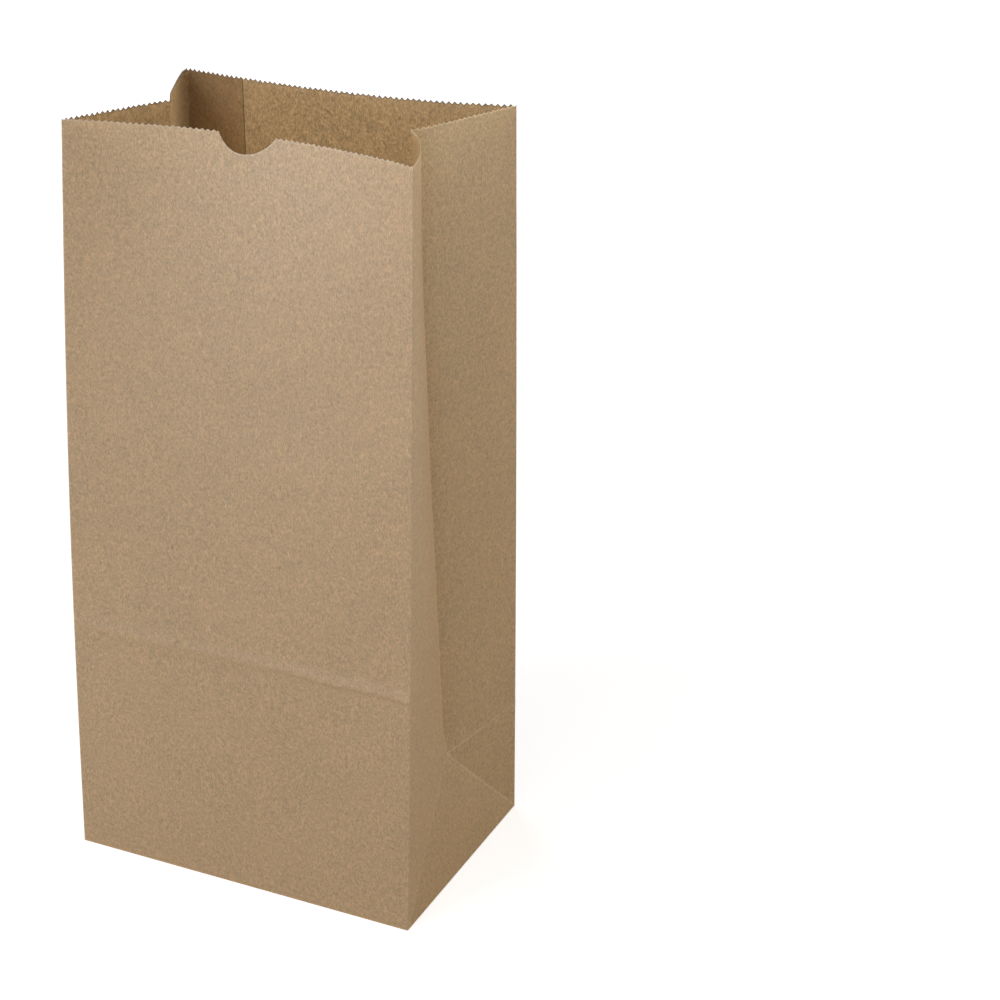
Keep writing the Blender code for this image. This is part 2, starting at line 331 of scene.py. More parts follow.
def right_place(across, z):
    shape = (RIGHT_FOLD_INSET, RIGHT_FRONT_BULGE, RIGHT_FRONT_FLATNESS, True, WAVE_SEEDS["right"])
    return gusset_place("front_right", "back_right", across, z, *shape)


def left_place(across, z):
    shape = (LEFT_FOLD_INSET, LEFT_REAR_BULGE, LEFT_REAR_FLATNESS, False, WAVE_SEEDS["left"])
    return gusset_place("back_left", "front_left", across, z, *shape)


def notch_drop(across):
    """Depth of the thumb notch at a share of the front's width, an arc with one flank steeper."""
    half = NOTCH_WIDTH / 2.0
    place = (across - 0.5) * BAG_WIDTH / half
    if abs(place) >= 1.0:
        return 0.0
    place += NOTCH_SKEW * (1.0 - place * place)
    radius = (half * half + NOTCH_DEPTH * NOTCH_DEPTH) / (2.0 * NOTCH_DEPTH)
    return math.sqrt(radius * radius - (place * half) ** 2) - (radius - NOTCH_DEPTH)


def spread(marks, even, least):
    """Even places joined with marks; one closer than the least distance to a mark gives way."""
    kept = [place for place in even if min(abs(place - mark) for mark in marks) > least]
    return sorted(set(kept) | set(marks))


class Wall:
    """One wall: its surface, and the places of its columns and of its cut edge across its width."""

    def __init__(self, name, place, width, folds=(0.0, 1.0), marks=(), tooth_height=TOOTH_HEIGHT):
        self.name = name
        self.place = place
        self.width = width
        self.teeth = round(width / TOOTH_PITCH)
        self.tooth_height = tooth_height
        self.folds = folds
        self.before = self
        near = set(folds)
        for fold in folds:
            for distance in FOLD_COLUMNS:
                shares = (fold - distance / width, fold + distance / width)
                near |= {share for share in shares if 0.0 < share < 1.0}
        even = [step / self.teeth for step in range(self.teeth + 1)]
        self.columns = spread(near | set(marks), even, COLUMN_GAP / width)
        fine = [step / self.teeth / RIM_STEPS for step in range(self.teeth * RIM_STEPS + 1)]
        self.rim = spread(set(self.columns), fine, RIM_GAP / width)
        chance = random.Random(name)
        self.jitter = [chance.uniform(*TOOTH_CHANCE) for _ in range(self.teeth + 1)]

    def drop(self, across):
        """How far the cut edge lies below the mouth's height, before the teeth."""
        return notch_drop(across) if self.name == "front" else 0.0

    def tooth(self, across):
        """How far the saw cut lies below its teeth's tips. The notch has no teeth."""
        if self.drop(across) > 0.0:
            return 0.0
        count = across * self.teeth
        index = min(self.teeth - 1, int(count))
        flank = abs(2.0 * (count - index) - 1.0)
        least, most = math.sqrt(TOOTH_ROUNDING), math.sqrt(1.0 + TOOTH_ROUNDING)
        rounded = (math.sqrt(flank * flank + TOOTH_ROUNDING) - least) / (most - least)
        return self.tooth_height * self.flattened(across) * self.jitter[index] * (1.0 - rounded)

    def flattened(self, across):
        if self.name != "front":
            return 1.0
        return at_least(FLAT_TEETH_SHARE, smooth(across * self.width / FLAT_TEETH_RUN))

    def height(self, across, z):
        """Rows bend down below the notch, so that the top one follows its edge."""
        follow = smooth((z - (BAG_HEIGHT - NOTCH_REACH)) / NOTCH_REACH)
        return z - self.drop(across) * follow

    def point(self, across, z):
        """A point of the outer surface. On a fold it is drawn towards the points beside it."""
        here = self.place(across, z)
        if across in self.folds:
            beside = FOLD_COLUMNS[0]
            ahead = self.place(across + beside / self.width, z)
            if across > 0.0:
                behind = self.place(across - beside / self.width, z)
            else:
                behind = self.before.place(1.0 - beside / self.before.width, z)
            here += FOLD_ROUND * (ahead + behind - 2.0 * here)
        return (here.x, here.y, z)


def seam_marks():
    """Places on the back for the steps of the seam, and beside the one that shows."""
    distances = (
        SEAM_OUTER_EDGE,
        SEAM_OUTER_EDGE + SEAM_STEP,
        SEAM_INNER_EDGE,
        SEAM_INNER_EDGE + SEAM_STEP,
        SEAM_INNER_EDGE - SEAM_LINE,
        SEAM_INNER_EDGE + SEAM_STEP + SEAM_LINE,
    )
    return [1.0 - distance / BAG_WIDTH for distance in distances]


def notch_marks():
    """Places on the front for the notch's arc, closer at its ends."""
    half = NOTCH_WIDTH / BAG_WIDTH / 2.0
    angles = [math.pi * step / NOTCH_COLUMNS for step in range(NOTCH_COLUMNS + 1)]
    return [0.5 - half * math.cos(angle) for angle in angles]


def make_walls():
    """Anticlockwise seen from above, starting at the front left edge."""
    front_teeth = TOOTH_HEIGHT * FRONT_TOOTH_SHARE
    right_teeth = TOOTH_HEIGHT * RIGHT_TOOTH_SHARE
    gusset_folds = (0.0, 0.5, 1.0)
    walls = [
        Wall("front", front_place, BAG_WIDTH, marks=notch_marks(), tooth_height=front_teeth),
        Wall("right", right_place, BAG_DEPTH, folds=gusset_folds, tooth_height=right_teeth),
        Wall("back", back_place, BAG_WIDTH, marks=seam_marks()),
        Wall("left", left_place, BAG_DEPTH, folds=gusset_folds),
    ]
    for index, wall in enumerate(walls):
        wall.before = walls[index - 1]
    return walls


def row_heights():
    """The heights of the rows below the cut edge."""
    top = BAG_HEIGHT - RIM_BAND
    ends = [low for low, _ in ROW_BANDS[1:]] + [top]
    heights = []
    for (low, length), high in zip(ROW_BANDS, ends):
        count = max(1, round((high - low) / length))
        heights += [low + (high - low) * step / count for step in range(count)]
    return heights + [top]


# What the paper's finish reads at each point of the mesh
MARKS = (
    "layers",
    "rim_distance",
    "fold_distance",
    "crease_distance",
    "lit_rim",
    "seam_shadow_line",
    "shade_to_corner",
)
# The distance that stands for none nearby
FAR = 1.0
# How much of the cut edge's colour is a painted highlight on the walls that turn it to the light;
# elsewhere the cut edge has painted shade
LIT_RIMS = {"front": 0.75, "right": 1.0}


class Sheet:
    """The outer surface: its vertices and faces, and what the finish reads at each vertex."""

    def __init__(self):
        self.points = []
        self.faces = []
        self.marks = {name: [] for name in MARKS}

    def add(self, wall, across, z, rim):
        """Adds a wall's point, which lies rim below the cut edge, and returns its number."""
        self.points.append(wall.point(across, z))
        on_back = wall.name == "back"
        lap = (1.0 - across) * BAG_WIDTH - SEAM_STEP / 2
        double = on_back and SEAM_OUTER_EDGE < lap < SEAM_INNER_EDGE
        # The mark of a painted shadow line along the lap's inner edge, where that edge stands off
        # the sheet
        on_line = on_back and SEAM_INNER_EDGE - SEAM_STEP < lap < SEAM_INNER_EDGE + SEAM_STEP
        values = {
            "layers": 2.0 if double else 1.0,
            "rim_distance": rim,
            "fold_distance": fold_distance(wall, across, z),
            "crease_distance": crease_distance(wall, across, z),
            "lit_rim": LIT_RIMS.get(wall.name, 0.0),
            "seam_shadow_line": 1.0 if on_line else 0.0,
            "shade_to_corner": shade_to_corner(wall, across),
        }
        for name in MARKS:
            self.marks[name].append(values[name])
        return len(self.points) - 1


def shade_to_corner(wall, across):
    """Painted shade in the left back corner: one at the left back edge, fading out over its reach
    on the back and the gusset.
    """
    if wall.name == "back":
        return max(0.0, 1.0 - (1.0 - across) * wall.width / CORNER_SHADE_REACH)
    if wall.name == "left":
        return max(0.0, 1.0 - across * wall.width / CORNER_SHADE_REACH)
    return 0.0


def fold_distance(wall, across, z):
    """Distance to the nearest upright edge or gusset fold."""
    near = min(across, 1.0 - across)
    if wall.name in ("left", "right") and z >= HALF_DEPTH:
        near = min(near, abs(across - 0.5))
    return near * wall.width


def crease_distance(wall, across, z):
    """Distance to the creases of the side walls and the back."""
    if wall.name == "front":
        return FAR
    if wall.name == "back":
        return abs(z - HALF_DEPTH)
    to_fold = (1.0 - abs(2.0 * across - 1.0)) * HALF_DEPTH
    slanted = abs(to_fold - z) / math.sqrt(2.0)
    if z > HALF_DEPTH:
        slanted = math.hypot(HALF_DEPTH - to_fold, z - HALF_DEPTH)
    rear = (across > 0.5) == (wall.name == "right")
    return min(slanted, abs(z - HALF_DEPTH)) if rear else slanted


def build_outer(walls):
    """The outer surface in rows from the bottom up, with its lowest row and its cut edge."""
    sheet = Sheet()
    columns = [(wall, across) for wall in walls for across in wall.columns[:-1]]
    heights = row_heights()
    for z in heights:
        for wall, across in columns:
            here = wall.height(across, z)
            sheet.add(wall, across, here, BAG_HEIGHT - wall.drop(across) - here)
    count = len(columns)
    for row in range(len(heights) - 1):
        for index, (wall, across) in enumerate(columns):
            after = (index + 1) % count
            low, high = row * count, (row + 1) * count
            a, b, c, d = low + index, low + after, high + after, high + index
            if across < 0.5:
                sheet.faces += [(a, b, c), (a, c, d)]
            else:
                sheet.faces += [(a, b, d), (b, c, d)]
    top = [(len(heights) - 1) * count + index for index in range(count)]
    rim = build_rim(sheet, walls, top)
    return sheet, list(range(count)), rim


def build_rim(sheet, walls, top):
    """The toothed band above the last row."""
    rim = []
    stops = []
    for wall in walls:
        for across in wall.rim[:-1]:
            if across in wall.columns:
                stops.append(len(rim))
            z = BAG_HEIGHT - wall.drop(across) - wall.tooth(across)
            rim.append(sheet.add(wall, across, z, 0.0))
    for column, start in enumerate(stops):
        end = stops[column + 1] if column + 1 < len(stops) else len(rim)
        line = [rim[step % len(rim)] for step in range(start, end + 1)]
        left, right = top[column], top[(column + 1) % len(top)]
        middle = len(line) // 2
        for step in range(len(line) - 1):
            pivot = left if step < middle else right
            sheet.faces.append((pivot, line[step + 1], line[step]))
        sheet.faces.append((left, right, line[middle]))
    return rim


def vertex_normals(points, faces):
    corners = points[faces]
    across = np.cross(corners[:, 1] - corners[:, 0], corners[:, 2] - corners[:, 0])
    normals = np.zeros_like(points)
    for side in range(3):
        np.add.at(normals, faces[:, side], across)
    return normals / np.linalg.norm(normals, axis=1)[:, None]


def cut_line(start, end, side):
    """A toothed edge, its teeth to the left of the straight line, or to the right for side -1."""
    start, end = Vector(start), Vector(end)
    count = 2 * round((end - start).length / TOOTH_PITCH)
    out = inward(start, end) * side * TOOTH_HEIGHT
    return [tuple(start.lerp(end, step / count) + out * (step % 2)) for step in range(count + 1)]


class Bottom:
    """Flat layers of the folded bottom: points shared at each height, and steps between layers."""

    def __init__(self, first):
        self.first = first
        self.points = []
        self.faces = []
        self.known = {}

    def point(self, place, layer):
        key = (round(place[0], 7), round(place[1], 7), layer)
        if key not in self.known:
            self.known[key] = self.first + len(self.points)
            self.points.append((place[0], place[1], layer * PAPER))
        return self.known[key]

    def face(self, ring, places, layer):
        """A flat face between a part of the walls' lowest row and a line of places."""
        self.faces.append(ring + [self.point(place, layer) for place in places])

    def steps(self, places, low, high, between=()):
        """Upright faces along a line; at its last place other layers may end in between."""
        for here, after in zip(places, places[1:]):
            levels = [low, *between, high] if after == places[-1] else [low, high]
            face = [self.point(here, high), self.point(here, low)]
            self.faces.append(face + [self.point(after, level) for level in levels])


def build_underside(bottom, rings):
    """Front flap lowest, then the back flap, then the end folds, mitred at the corners."""
    half_width = BAG_WIDTH / 2.0
    reach = (BAG_DEPTH + FLAP_OVERLAP) / 2.0
    left, right = (HALF_DEPTH - half_width, 0.0), (half_width - HALF_DEPTH, 0.0)
    cut_y = FLAP_OVERLAP / 2.0
    cut = cut_line((reach - half_width, cut_y), (half_width - reach, cut_y), 1.0)
    edge = [left, *cut, right]
    front, back = rings["front"][::-1], rings["back"]
    bottom.face(front, edge, FRONT_FLAP)
    bottom.face(back, edge, BACK_FLAP)
    bottom.face(rings["right"], [right], END_FOLD)
    bottom.face(rings["left"], [left], END_FOLD)
    bottom.steps(edge, FRONT_FLAP, BACK_FLAP)
    for ring, layers in (
        (front, (FRONT_FLAP, BACK_FLAP, END_FOLD)),
        (back, (BACK_FLAP, END_FOLD)),
    ):
        for start, end in ((ring[-1], left), (ring[0], right)):
            bottom.faces.append([start] + [bottom.point(end, layer) for layer in layers])


def nearest(ring, points, x):
    return min(range(len(ring)), key=lambda place: abs(points[ring[place]][0] - x))


def build_inside_floor(bottom, rings, points):
    """The end pieces on top, between their cut edges the back flap and, lower, the front flap."""
    cut_x = BAG_WIDTH / 2.0 - (BAG_DEPTH + FLAP_OVERLAP) / 2.0
    strip_y = HALF_DEPTH - FLOOR_STRIP
    step_y = -FLAP_OVERLAP / 2.0
    front_left, front_right = (-cut_x, -strip_y), (cut_x, -strip_y)
    back_right, back_left = (cut_x, strip_y), (-cut_x, strip_y)
    cross_left, cross_right = (-cut_x, step_y), (cut_x, step_y)
    left_low = cut_line(front_left, cross_left, -1.0)
    left_high = cut_line(back_left, cross_left, 1.0)
    right_low = cut_line(front_right, cross_right, 1.0)
    right_high = cut_line(back_right, cross_right, -1.0)
    cross = cut_line(cross_left, cross_right, -1.0)
    front, back = rings["front"], rings["back"]
    first, second = nearest(front, points, -cut_x), nearest(front, points, cut_x)
    third, fourth = nearest(back, points, cut_x), nearest(back, points, -cut_x)
    left_ring = back[fourth:-1] + rings["left"][:-1] + front[:first + 1]
    right_ring = front[second:-1] + rings["right"][:-1] + back[:third + 1]
    bottom.face(left_ring, left_low + left_high[-2::-1], END_FOLD_TOP)
    bottom.face(right_ring, right_high + right_low[-2::-1], END_FOLD_TOP)
    bottom.face(front[first:second + 1], (front_right, front_left), END_FOLD_TOP)
    bottom.face(back[third:fourth + 1], (back_left, back_right), END_FOLD_TOP)
    bottom.face([], left_low + cross[1:-1] + right_low[::-1], FRONT_FLAP_TOP)
    bottom.face([], left_high + cross[1:-1] + right_high[::-1], BACK_FLAP_TOP)
    bottom.steps((front_left, front_right), FRONT_FLAP_TOP, END_FOLD_TOP)
    bottom.steps((back_right, back_left), BACK_FLAP_TOP, END_FOLD_TOP)
    for line in (left_low, right_low):
        bottom.steps(line, FRONT_FLAP_TOP, END_FOLD_TOP, between=(BACK_FLAP_TOP,))
    for line in (left_high, right_high):
        bottom.steps(line, BACK_FLAP_TOP, END_FOLD_TOP)
    bottom.steps(cross, FRONT_FLAP_TOP, BACK_FLAP_TOP)


def wall_rings(walls, shift):
    """Each wall's lowest points from one corner to the next."""
    rings = {}
    start = 0
    total = sum(len(wall.columns) - 1 for wall in walls)
    for wall in walls:
        count = len(wall.columns) - 1
        rings[wall.name] = [shift + (start + step) % total for step in range(count + 1)]
        start += count
    return rings


def lift_bottom(points, rings):
    """The walls start at the height of the flap or end fold that they turn into."""
    for name, layer in WALL_LAYERS.items():
        for vertex in rings[name]:
            points[vertex, 2] = layer * PAPER


def clean_mesh(name, points, faces):
    """A mesh from lists, with all faces looking out."""
    mesh = bpy.data.meshes.new(name)
    mesh.from_pydata(points, [], faces)
    shape = bmesh.new()
    shape.from_mesh(mesh)
    bmesh.ops.recalc_face_normals(shape, faces=shape.faces)
    shape.to_mesh(mesh)
    shape.free()
    return mesh


def write_marks(mesh, sheet, bottom_row, flat_count):
    """Marks of the outer and the inner surface, then those of the bottom's flat points."""
    for vertex in bottom_row:
        sheet.marks["layers"][vertex] = 2.0
    flat = dict.fromkeys(MARKS, FAR)
    flat.update({"layers": 2.0, "lit_rim": 0.0, "seam_shadow_line": 0.0, "shade_to_corner": 0.0})
    for name, values in sheet.marks.items():
        attribute = mesh.attributes.new(name, "FLOAT", "POINT")
        attribute.data.foreach_set("value", 2 * values + [flat[name]] * flat_count)


def build_bag():
    walls = make_walls()
    sheet, bottom_row, rim = build_outer(walls)
    points = np.array(sheet.points)
    faces = np.array(sheet.faces)
    thickness = PAPER * np.array(sheet.marks["layers"])
    inner = points - vertex_normals(points, faces) * thickness[:, None]
    inner[bottom_row, 2] = END_FOLD_TOP * PAPER
    rings = wall_rings(walls, 0)
    lift_bottom(points, rings)
    shift = len(points)
    all_faces = [list(face) for face in faces] + [list(shift + face[::-1]) for face in faces]
    for index, here in enumerate(rim):
        after = rim[(index + 1) % len(rim)]
        all_faces.append([here, after, shift + after, shift + here])
    all_points = np.vstack([points, inner])
    bottom = Bottom(len(all_points))
    build_underside(bottom, rings)
    build_inside_floor(bottom, wall_rings(walls, shift), all_points)
    mesh = clean_mesh("kraft_bag", all_points.tolist() + bottom.points, all_faces + bottom.faces)
    write_marks(mesh, sheet, bottom_row, len(bottom.points))
    mesh.shade_smooth()
    mesh.set_sharp_from_angle(angle=math.radians(SHARP_ANGLE))
    bag = bpy.data.objects.new("kraft_bag", mesh)
    bpy.context.scene.collection.objects.link(bag)
    return bag


# Kraft paper: the colours that one face of the sheet reflects and lets through, and the share of
# the light that goes through one layer and through two
REFLECTED = (0.474, 0.345, 0.197, 1.0)
LET_THROUGH = (0.845, 0.700, 0.490, 1.0)
THROUGH_SHARE = 0.40
DOUBLE_THROUGH_SHARE = 0.24
# Colours laid over the reflected one: specks; worn folds, partly a painted highlight; the seam's
# painted shadow line; painted shade over the double layers and towards the left back corner; the
# cut edge's painted highlight and shade
DARK_SPECK = (0.16, 0.10, 0.05, 1.0)
PALE_SPECK = (0.80, 0.70, 0.52, 1.0)
# Lighter folds and creases: partly worn fibres, partly a painted highlight
WORN_AND_LIT = (0.72, 0.60, 0.44, 1.0)
# A painted shadow: the dark line where the lap's inner edge stands off the sheet
SEAM_SHADE = (0.14, 0.09, 0.045, 1.0)
# Painted shade: a darker tint over the double layers, and a darker colour towards the left back
# corner
LAP_SHADE_TINT = (1.0, 0.90, 0.78, 1.0)
CORNER_SHADE_COLOUR = (0.20, 0.135, 0.07, 1.0)
# Painted shade and painted highlight of the cut edge, for the shaded walls and for those turned to
# the light
CUT_SHADE = (0.24, 0.16, 0.08, 1.0)
CUT_HIGHLIGHT = (0.90, 0.80, 0.64, 1.0)
# The shares of the seam's painted shadow and of the corner's painted shade, and what each takes
# from the light let through
SEAM_SHADOW_SHARE = 0.45
CORNER_SHADE_SHARE = 0.25
SEAM_SHADOW_DIMMING = 0.45
CORNER_SHADE_DIMMING = 0.38

# Noises of the sheet: scale, detail and roughness. Fibres and specks are stretched upright
CLOUDS = (28.0, 2.0, 0.5)
FORMATION = (520.0, 3.0, 0.65)
FIBRES = (2000.0, 2.0, 0.6)
SPECKS = (900.0, 0.0, 0.5)
STRETCH = (1.0, 1.0, 0.45)
# What each noise adds to the tone of the reflected light and of the light let through: the range
# of the noise, and the range that it becomes
CLOUD_TONE = (0.25, 0.75, -0.02, 0.02)
FORMATION_TONE = (0.2, 0.8, -0.02, 0.02)
FIBRE_TONE = (0.2, 0.8, -0.22, 0.22)
THROUGH_CLOUD_TONE = (0.25, 0.75, -0.03, 0.03)
THROUGH_FORMATION_TONE = (0.25, 0.75, 0.75, 1.19)
THROUGH_FIBRE_TONE = (0.2, 0.8, -0.42, 0.42)
# In the same way, the shares of the speck colours by their noise, those of the worn and lit colour
# and of the cut edge's painted highlight and shade by the distance, and that of the painted shade's
# tint by the corner's mark
DARK_SPECKS = (0.80, 0.86, 0.0, 0.55)
PALE_SPECKS = (0.20, 0.14, 0.0, 0.4)
FOLD_WEAR_AND_HIGHLIGHT = (0.0, 0.0008, 0.55, 0.0)
CREASE_WEAR_AND_HIGHLIGHT = (0.0, 0.0007, 0.50, 0.0)
CUT_EDGE = (0.0, 0.0007, 0.85, 0.0)
LAP_SHADE_RANGE = (0.0, 0.5, 0.0, 1.0)

SURFACE = {
    "Roughness": 0.44,
    "Specular IOR Level": 0.5,
    "Sheen Weight": 0.03,
    "Sheen Roughness": 0.5,
}
BUMP = {"Strength": 0.28, "Distance": 0.00025}
FIBRE_RELIEF = 0.6
FORMATION_RELIEF = 0.5


class Graph:
    """Short ways to add and link shader nodes."""

    def __init__(self, tree):
        self.tree = tree
        tree.nodes.clear()

    def node(self, kind, constants=None):
        made = self.tree.nodes.new(kind)
        for name, value in (constants or {}).items():
            made.inputs[name].default_value = value
        return made

    def link(self, output, target):
        self.tree.links.new(output, target)

    def feed(self, sockets, values):
        """Gives each socket its value: a constant, or another node's output."""
        for socket, value in zip(sockets, values):
            if isinstance(value, (int, float, tuple)):
                socket.default_value = value
            else:
                self.link(value, socket)

    def noise(self, vector, scale, detail, roughness):
        constants = {"Scale": scale, "Detail": detail, "Roughness": roughness}
        made = self.node("ShaderNodeTexNoise", constants)
        self.link(vector, made.inputs["Vector"])
        return made.outputs["Fac"]

    def remap(self, value, low, high, to_low, to_high):
        constants = {"From Min": low, "From Max": high, "To Min": to_low, "To Max": to_high}
        made = self.node("ShaderNodeMapRange", constants)
        made.clamp = True
        self.link(value, made.inputs["Value"])
        return made.outputs["Result"]

    def math(self, operation, first, second):
        made = self.node("ShaderNodeMath")
        made.operation = operation
        self.feed(made.inputs, (first, second))
        return made.outputs[0]

    def total(self, first, *others):
        for other in others:
            first = self.math("ADD", first, other)
        return first

    def mix(self, factor, first, second, blend="MIX"):
        """A mix of two colours. The mix node has its colour sockets at places 6 and 7."""
        made = self.node("ShaderNodeMix")
        made.data_type = "RGBA"
        made.blend_type = blend
        self.feed((made.inputs[0], made.inputs[6], made.inputs[7]), (factor, first, second))
        return made.outputs[2]

    def grey(self, tone):
        made = self.node("ShaderNodeCombineColor")
        self.feed(made.inputs, (tone, tone, tone))
        return made.outputs[0]

    def attribute(self, name):
        made = self.node("ShaderNodeAttribute")
        made.attribute_name = name
        return made.outputs["Fac"]

    def finish(self, kind, shader):
        self.link(shader.outputs[0], self.node(kind).inputs["Surface"])


def paper_values(graph):
    """What the paper's looks depend on: the noises, the mesh's marks and the share of cut edge."""
    place = graph.node("ShaderNodeTexCoord").outputs["Object"]
    stretched = graph.node("ShaderNodeMapping", {"Scale": STRETCH})
    graph.link(place, stretched.inputs["Vector"])
    values = {name: graph.attribute(name) for name in MARKS}
    values["clouds"] = graph.noise(place, *CLOUDS)
    values["formation"] = graph.noise(place, *FORMATION)
    values["fibres"] = graph.noise(stretched.outputs["Vector"], *FIBRES)
    values["specks"] = graph.noise(stretched.outputs["Vector"], *SPECKS)
    values["cut"] = graph.remap(values["rim_distance"], *CUT_EDGE)
    return values


def reflected_colour(graph, values):
    clouds = graph.remap(values["clouds"], *CLOUD_TONE)
    formation = graph.remap(values["formation"], *FORMATION_TONE)
    fibres = graph.remap(values["fibres"], *FIBRE_TONE)
    tone = graph.total(clouds, formation, fibres, 1.0)
    colour = graph.mix(1.0, REFLECTED, graph.grey(tone), "MULTIPLY")
    colour = graph.mix(graph.remap(values["specks"], *DARK_SPECKS), colour, DARK_SPECK)
    colour = graph.mix(graph.remap(values["specks"], *PALE_SPECKS), colour, PALE_SPECK)
    # Folds and creases lighter: partly wear, partly a painted highlight
    lit_fold_wear = graph.remap(values["fold_distance"], *FOLD_WEAR_AND_HIGHLIGHT)
    lit_crease_wear = graph.remap(values["crease_distance"], *CREASE_WEAR_AND_HIGHLIGHT)
    colour = graph.mix(graph.math("MAXIMUM", lit_fold_wear, lit_crease_wear), colour, WORN_AND_LIT)
    # A painted shadow line along the lap's inner edge
    seam = graph.math("MULTIPLY", values["seam_shadow_line"], SEAM_SHADOW_SHARE)
    colour = graph.mix(seam, colour, SEAM_SHADE)
    doubled = graph.remap(values["layers"], 1.0, 2.0, 0.0, 1.0)
    # Painted shade over the double layers (the lap and the bottom) and towards the left back corner
    near_corner = graph.remap(values["shade_to_corner"], *LAP_SHADE_RANGE)
    colour = graph.mix(graph.math("MAXIMUM", doubled, near_corner), colour, LAP_SHADE_TINT, "MULTIPLY")
    colour = graph.mix(graph.math("MULTIPLY", values["shade_to_corner"], CORNER_SHADE_SHARE), colour, CORNER_SHADE_COLOUR)
    # The cut edge: painted highlight where it is turned to the light, painted shade elsewhere
    cut_light_and_shade = graph.mix(values["lit_rim"], CUT_SHADE, CUT_HIGHLIGHT)
    return graph.mix(values["cut"], colour, cut_light_and_shade)


def through_colour(graph, values):
    formation = graph.remap(values["formation"], *THROUGH_FORMATION_TONE)
    clouds = graph.remap(values["clouds"], *THROUGH_CLOUD_TONE)
    fibres = graph.remap(values["fibres"], *THROUGH_FIBRE_TONE)
    tone = graph.total(formation, clouds, fibres)
    # The seam's painted shadow also dims the light let through
    seam = graph.math("MULTIPLY", values["seam_shadow_line"], SEAM_SHADOW_DIMMING)
    # The corner's painted shade also dims the light let through
    corner_dimming = graph.math("MULTIPLY", values["shade_to_corner"], CORNER_SHADE_DIMMING)
    # The cut edge's painted shade dims the light let through, where it is not lit
    not_lit = graph.math("SUBTRACT", 1.0, values["lit_rim"])
    shaded_cut = graph.math("MULTIPLY", values["cut"], not_lit)
    for dimming in (seam, corner_dimming, shaded_cut):
        tone = graph.math("SUBTRACT", tone, dimming)
    return graph.mix(1.0, LET_THROUGH, graph.grey(tone), "MULTIPLY")


def kraft_material():
    """Thin paper: a share of the light goes through it, less where it lies double."""
    material = bpy.data.materials.new("kraft_paper")
    material.use_nodes = True
    graph = Graph(material.node_tree)
    values = paper_values(graph)
    paper = graph.node("ShaderNodeBsdfPrincipled", SURFACE)
    graph.link(reflected_colour(graph, values), paper.inputs["Base Color"])
    translucent = graph.node("ShaderNodeBsdfTranslucent")
    graph.link(through_colour(graph, values), translucent.inputs["Color"])

    fibre_relief = graph.math("MULTIPLY", values["fibres"], FIBRE_RELIEF)
    formation_relief = graph.math("MULTIPLY", values["formation"], FORMATION_RELIEF)
    bump = graph.node("ShaderNodeBump", BUMP)
    graph.link(graph.total(fibre_relief, formation_relief), bump.inputs["Height"])
    graph.link(bump.outputs["Normal"], paper.inputs["Normal"])

    share = graph.remap(values["layers"], 1.0, 2.0, THROUGH_SHARE, DOUBLE_THROUGH_SHARE)
    mixed = graph.node("ShaderNodeMixShader")
    graph.feed(mixed.inputs, (share, paper.outputs[0], translucent.outputs[0]))
    graph.finish("ShaderNodeOutputMaterial", mixed)
    return material


FLOOR_HALF = 6.0
FLOOR_DROP = 0.0001
FLOOR_COLOUR = (0.80, 0.80, 0.80, 1.0)
# What the floor adds to its lit colour where it is seen, up to white, and the distances between
FLOOR_GLOW = 0.75
FLOOR_GLOW_RUN = (0.6, 2.5)
# The same in the paper's gloss, which finds less of it in the bag's own shade
SHADED_GLOW = 0.35
SHADED_GLOW_RUN = (0.12, 0.60)
# The world's colour, and its strength for all rays but those that are to find white
WHITE = (1.0, 1.0, 1.0, 1.0)
WORLD_LEVEL = 0.12


def straight_rays(graph, path):
    """One for the camera's rays, and for those that have gone through the paper."""
    kinds = (path.outputs["Is Camera Ray"], path.outputs["Is Transmission Ray"])
    return graph.math("MAXIMUM", *kinds)


def floor_glow(graph):
    """The floor's own white for the rays that see it, by the distance from the bag's middle."""
    radius = graph.node("ShaderNodeVectorMath")
    radius.operation = "LENGTH"
    graph.link(graph.node("ShaderNodeTexCoord").outputs["Object"], radius.inputs[0])
    path = graph.node("ShaderNodeLightPath")
    glow = graph.remap(radius.outputs["Value"], *FLOOR_GLOW_RUN, FLOOR_GLOW, 1.0)
    shaded = graph.remap(radius.outputs["Value"], *SHADED_GLOW_RUN, SHADED_GLOW, 1.0)
    seen = graph.math("MULTIPLY", straight_rays(graph, path), glow)
    mirrored = graph.math("MULTIPLY", path.outputs["Is Glossy Ray"], shaded)
    return graph.math("MAXIMUM", seen, mirrored)


def make_floor():
    mesh = bpy.data.meshes.new("floor")
    signs = ((-1.0, -1.0), (1.0, -1.0), (1.0, 1.0), (-1.0, 1.0))
    corners = [(x * FLOOR_HALF, y * FLOOR_HALF, -FLOOR_DROP) for x, y in signs]
    mesh.from_pydata(corners, [], [(0, 1, 2, 3)])
    floor = bpy.data.objects.new("floor", mesh)
    bpy.context.scene.collection.objects.link(floor)
    material = bpy.data.materials.new("white_floor")
    material.use_nodes = True
    graph = Graph(material.node_tree)
    plain = graph.node("ShaderNodeBsdfDiffuse", {"Color": FLOOR_COLOUR})
    white = graph.node("ShaderNodeEmission")
    graph.link(floor_glow(graph), white.inputs["Strength"])
    joined = graph.node("ShaderNodeAddShader")
    graph.feed(joined.inputs, (plain.outputs[0], white.outputs[0]))
    graph.finish("ShaderNodeOutputMaterial", joined)
    mesh.materials.append(material)
    return floor


def make_world():
    """White where it is seen or mirrored, and dim for the rays that light the bag."""
    world = bpy.data.worlds.new("studio")
    world.use_nodes = True
    graph = Graph(world.node_tree)
    background = graph.node("ShaderNodeBackground", {"Color": WHITE})
    path = graph.node("ShaderNodeLightPath")
    seen = graph.math("MAXIMUM", straight_rays(graph, path), path.outputs["Is Glossy Ray"])
    level = graph.remap(seen, 0.0, 1.0, WORLD_LEVEL, 1.0)
    graph.link(level, background.inputs["Strength"])
    graph.finish("ShaderNodeOutputWorld", background)
    bpy.context.scene.world = world


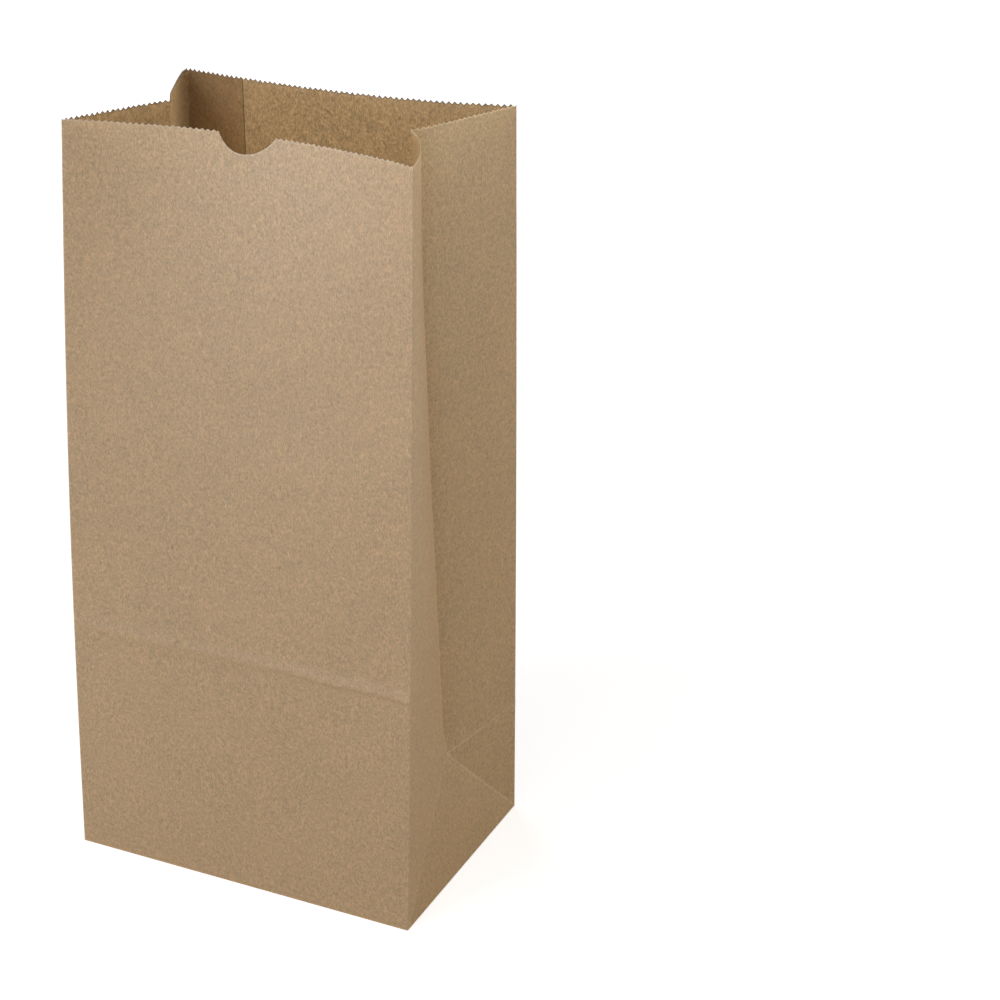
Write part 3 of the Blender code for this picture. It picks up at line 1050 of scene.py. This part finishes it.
# Soft boxes: where each stands, how wide and tall it is, its power in watts and its colour
COOL = (0.98, 1.01, 1.10)
WARM = (1.0, 0.955, 0.79)
LAMPS = {
    "key": ((-1.2, -1.9, 0.22), (1.4, 0.44), 14.0, COOL),
    "left": ((-1.8, -1.4, 0.22), (1.6, 0.44), 14.0, COOL),
    "front_low": ((-0.4, -2.2, 0.35), (1.0, 1.0), 4.0, COOL),
    "front": ((0.2, -2.2, 1.0), (1.2, 1.2), 8.0, COOL),
    "front_high": ((-0.9, -1.6, 1.7), (1.2, 1.2), 12.0, COOL),
    "right": ((1.9, 1.0, 0.25), (1.2, 0.5), 23.0, WARM),
    "back": ((-1.6, 1.5, 1.1), (1.2, 1.2), 11.0, COOL),
}
LAMP_AIM = Vector((0.0, 0.0, 0.16))


def aimed(name, data, place, aim):
    """An object that stands at one place and looks at another."""
    holder = bpy.data.objects.new(name, data)
    holder.location = place
    holder.rotation_mode = "QUATERNION"
    holder.rotation_quaternion = (aim - Vector(place)).to_track_quat("-Z", "Y")
    bpy.context.scene.collection.objects.link(holder)
    return holder


def make_lamps():
    for name, (place, (width, height), power, colour) in LAMPS.items():
        lamp = bpy.data.lights.new(name, "AREA")
        lamp.shape = "RECTANGLE"
        lamp.size = width
        lamp.size_y = height
        lamp.energy = power
        lamp.color = colour
        aimed(name, lamp, place, LAMP_AIM)


# The camera, fitted to the bag's corners in the photograph. Lens and sensor are in millimetres
CAMERA_PLACE = Vector((0.41479, -0.70957, 0.51996))
CAMERA_AIM = Vector((0.09284, 0.0, 0.17181))
CAMERA_ROLL = math.radians(0.567)
CAMERA_LENS = 79.2
CAMERA_SENSOR = 36.0
CAMERA_CLIP = (0.05, 50.0)
VIEW_AXIS = Vector((0.0, 0.0, 1.0))


def make_camera():
    camera = bpy.data.cameras.new("camera")
    camera.lens = CAMERA_LENS
    camera.sensor_width = CAMERA_SENSOR
    camera.clip_start, camera.clip_end = CAMERA_CLIP
    holder = aimed("camera", camera, CAMERA_PLACE, CAMERA_AIM)
    holder.rotation_quaternion = holder.rotation_quaternion @ Quaternion(VIEW_AXIS, CAMERA_ROLL)
    bpy.context.scene.camera = holder


make_camera()
make_world()
make_lamps()
make_floor()

bag = build_bag()
bag.data.materials.append(kraft_material())
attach(bag, "root")
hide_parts(NODE)

bpy.context.scene.view_settings.view_transform = "Standard"
